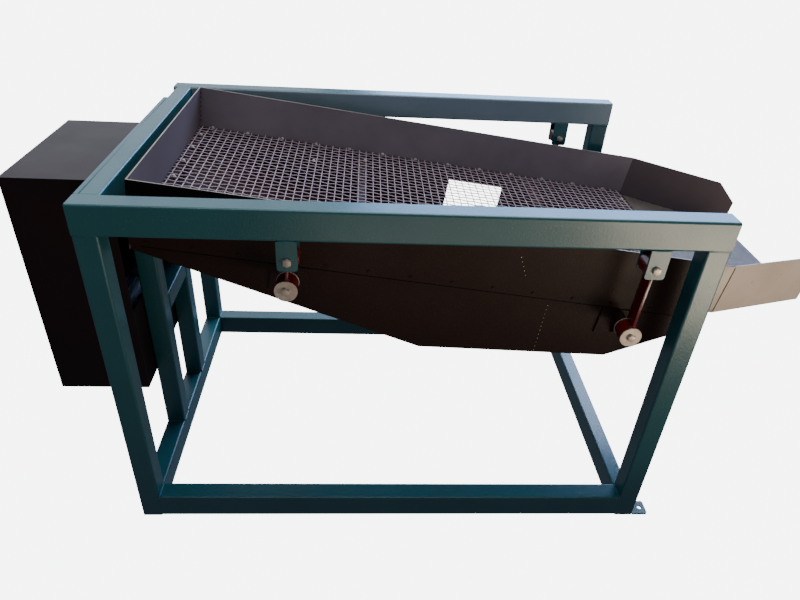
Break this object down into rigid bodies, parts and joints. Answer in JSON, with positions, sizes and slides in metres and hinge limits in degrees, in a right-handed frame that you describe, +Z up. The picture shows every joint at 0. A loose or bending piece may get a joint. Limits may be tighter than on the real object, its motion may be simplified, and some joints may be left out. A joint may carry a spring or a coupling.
{
  "type": "coal screen",
  "caption": "Swinging coal screen: sloping wire deck over a hopper with a spout, hung on rubber-bushed rocker arms in a tube frame and shaken by a belt-driven eccentric.",
  "frame": {"origin": "middle of the whole outline, on the floor", "axes": "+X from the feed end to the discharge spout, +Y to the side with the hopper window, +Z up"},
  "size_m": [2.2726, 1.035, 1.072],
  "materials": {
    "frame_paint": "gloss blue-green enamel on welded tube",
    "trough_paint": "dark brown-grey hammered enamel on sheet",
    "guard_paint": "dark brown satin enamel on sheet",
    "spout_sheet": "worn grey-brown enamel on sheet",
    "arm_paint": "dark red gloss enamel",
    "motor_paint": "grey-blue enamel on ribbed casting",
    "zinc_plate": "bright zinc plating",
    "galvanised_wire": "dull galvanised wire",
    "turned_steel": "turned bare steel",
    "cast_iron": "dark machined casting",
    "bush_rubber": "black bonded rubber",
    "belt_rubber": "black wrapped belt",
    "cap_plastic": "black plug"
  },
  "bodies": {
    "frame": {"top_rail_near": "frame_paint", "top_rail_far": "frame_paint", "top_rail_feed": "frame_paint", "leg_feed_near": "frame_paint", "leg_feed_far": "frame_paint", "leg_discharge_near": "frame_paint", "leg_discharge_far": "frame_paint", "base_rail_near": "frame_paint", "base_rail_far": "frame_paint", "base_rail_feed": "frame_paint", "base_rail_discharge": "frame_paint", "drive_post_near": "frame_paint", "drive_post_far": "frame_paint", "drive_post_tie": "frame_paint", "drive_mount_plate": "zinc_plate", "foot_plates": "frame_paint", "rail_end_caps": "cap_plastic", "hanger_plates": "frame_paint", "hanger_fasteners": "zinc_plate", "bearing_seats": "frame_paint", "bearing_blocks": "cast_iron", "guard_panels": "guard_paint", "guard_inner_panel": "guard_paint", "motor": "motor_paint", "drive_belts": "belt_rubber"},
    "rocker_feed_near": {"rocker_feed_near": "arm_paint", "bushes_feed_near": "bush_rubber"},
    "rocker_feed_far": {"rocker_feed_far": "arm_paint", "bushes_feed_far": "bush_rubber"},
    "rocker_discharge_near": {"rocker_discharge_near": "arm_paint", "bushes_discharge_near": "bush_rubber"},
    "rocker_discharge_far": {"rocker_discharge_far": "arm_paint", "bushes_discharge_far": "bush_rubber"},
    "trough": {"pin_brackets": "trough_paint", "pin_bolts": "zinc_plate", "pin_washers": "zinc_plate", "side_panel_near": "trough_paint", "side_panel_far": "trough_paint", "feed_end_wall": "trough_paint", "spout_wall_near": "trough_paint", "spout_wall_far": "trough_paint", "spout_floor": "spout_sheet", "hopper_cheek_near": "trough_paint", "hopper_cheek_far": "trough_paint", "hopper_slope_sheet": "trough_paint", "hopper_floor_sheet": "trough_paint", "hopper_rise_sheet": "trough_paint", "deck_ledges": "trough_paint", "deck_cross_bars": "trough_paint", "screen_wires_long": "galvanised_wire", "screen_wires_cross": "galvanised_wire", "deck_screws": "zinc_plate", "seam_screws": "trough_paint", "rod_bracket": "trough_paint", "rod_pin": "turned_steel", "rod_bush": "bush_rubber"},
    "eccentric": {"eccentric_shaft": "turned_steel", "driven_pulley": "cast_iron"},
    "motor_rotor": {"motor_pulley": "cast_iron"},
    "push_rod": {"push_rod": "arm_paint"}
  },
  "joints": [
    {"name": "trough_shake", "type": "slide", "parent": "frame", "child": "trough", "axis": [0.9962, 0, -0.0872], "range_m": [-0.0039, 0.0039], "stiffness_N_per_m": 100000},
    {"name": "feed_swing_near", "type": "hinge", "parent": "frame", "child": "rocker_feed_near", "pos_m": [-0.38333, -0.48, 0.92], "axis": [0, 1, 0], "range_deg": [-2.7, 2.7]},
    {"name": "feed_swing_far", "type": "hinge", "parent": "frame", "child": "rocker_feed_far", "pos_m": [-0.38333, 0.48, 0.92], "axis": [0, 1, 0], "range_deg": [-2.7, 2.7]},
    {"name": "discharge_swing_near", "type": "hinge", "parent": "frame", "child": "rocker_discharge_near", "pos_m": [0.51767, -0.48, 0.92], "axis": [0, 1, 0], "range_deg": [-1.2, 1.2]},
    {"name": "discharge_swing_far", "type": "hinge", "parent": "frame", "child": "rocker_discharge_far", "pos_m": [0.51767, 0.48, 0.92], "axis": [0, 1, 0], "range_deg": [-1.2, 1.2]},
    {"name": "shaft_spin", "type": "hinge", "parent": "frame", "child": "eccentric", "pos_m": [-0.9651, -0.015, 0.92673], "axis": [0, 1, 0], "continuous": true},
    {"name": "motor_spin", "type": "hinge", "parent": "frame", "child": "motor_rotor", "pos_m": [-0.97233, -0.222, 0.47], "axis": [0, 1, 0], "continuous": true},
    {"name": "rod_turn", "type": "hinge", "parent": "eccentric", "child": "push_rod", "pos_m": [-0.9646, -0.015, 0.9307], "axis": [0, 1, 0], "continuous": true}
  ],
  "couplings": [
    {"joint": "feed_swing_near", "follows": "trough_shake", "rad_per_m": -11.587},
    {"joint": "feed_swing_far", "follows": "trough_shake", "rad_per_m": -11.587},
    {"joint": "discharge_swing_near", "follows": "trough_shake", "rad_per_m": -4.7903},
    {"joint": "discharge_swing_far", "follows": "trough_shake", "rad_per_m": -4.7903},
    {"joint": "motor_spin", "follows": "shaft_spin", "ratio": 1.8451},
    {"joint": "rod_turn", "follows": "shaft_spin", "ratio": -1}
  ]
}
